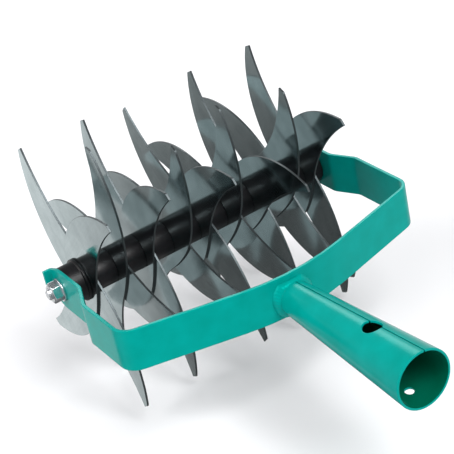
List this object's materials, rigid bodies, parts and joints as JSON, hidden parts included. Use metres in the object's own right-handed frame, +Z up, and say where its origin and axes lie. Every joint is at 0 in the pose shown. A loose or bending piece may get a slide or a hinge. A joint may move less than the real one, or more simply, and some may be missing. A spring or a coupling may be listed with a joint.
{
  "type": "rolling star aerator head",
  "caption": "Rolling lawn aerator head: bowed flat-strip frame with tapered handle socket and a free-turning rotor of crossed sickle blades on a bolt.",
  "frame": {"origin": "centre of the socket mouth, where the handle goes in", "axes": "+X along the axle to the right seen from the handle side, -Y towards the handle, +Z up, square to the plane of the frame"},
  "size_m": [0.2316, 0.3537, 0.1916],
  "materials": {
    "green_enamel": "gloss enamel",
    "zinc_plate": "bright zinc",
    "black_nylon": "moulded, slightly glossy",
    "blade_steel": "bright rolled sheet"
  },
  "bodies": {
    "frame": {"frame_strip": "green_enamel", "handle_socket": "green_enamel", "socket_weld": "green_enamel", "axle_bolt": "zinc_plate", "axle_nut": "zinc_plate", "washer_left": "zinc_plate", "washer_right": "zinc_plate"},
    "rotor": {"hub_sleeve": "black_nylon", "end_bush_left": "black_nylon", "end_bush_right": "black_nylon", "hub_spacer_1": "black_nylon", "hub_spacer_2": "black_nylon", "hub_spacer_3": "black_nylon", "hub_spacer_4": "black_nylon", "hub_spacer_5": "black_nylon", "hub_spacer_6": "black_nylon", "hub_spacer_7": "black_nylon", "hub_spacer_8": "black_nylon", "blade_1a": "blade_steel", "blade_1b": "blade_steel", "blade_2a": "blade_steel", "blade_2b": "blade_steel", "blade_3a": "blade_steel", "blade_3b": "blade_steel", "blade_4a": "blade_steel", "blade_4b": "blade_steel", "blade_5a": "blade_steel", "blade_5b": "blade_steel", "blade_6a": "blade_steel", "blade_6b": "blade_steel", "blade_7a": "blade_steel", "blade_7b": "blade_steel", "blade_8a": "blade_steel", "blade_8b": "blade_steel", "blade_9a": "blade_steel", "blade_9b": "blade_steel"}
  },
  "joints": [
    {"name": "rotor_spin", "type": "hinge", "parent": "frame", "child": "rotor", "pos_m": [0.0051, 0.25721, 0.0018], "axis": [1, 0, 0], "continuous": true}
  ]
}
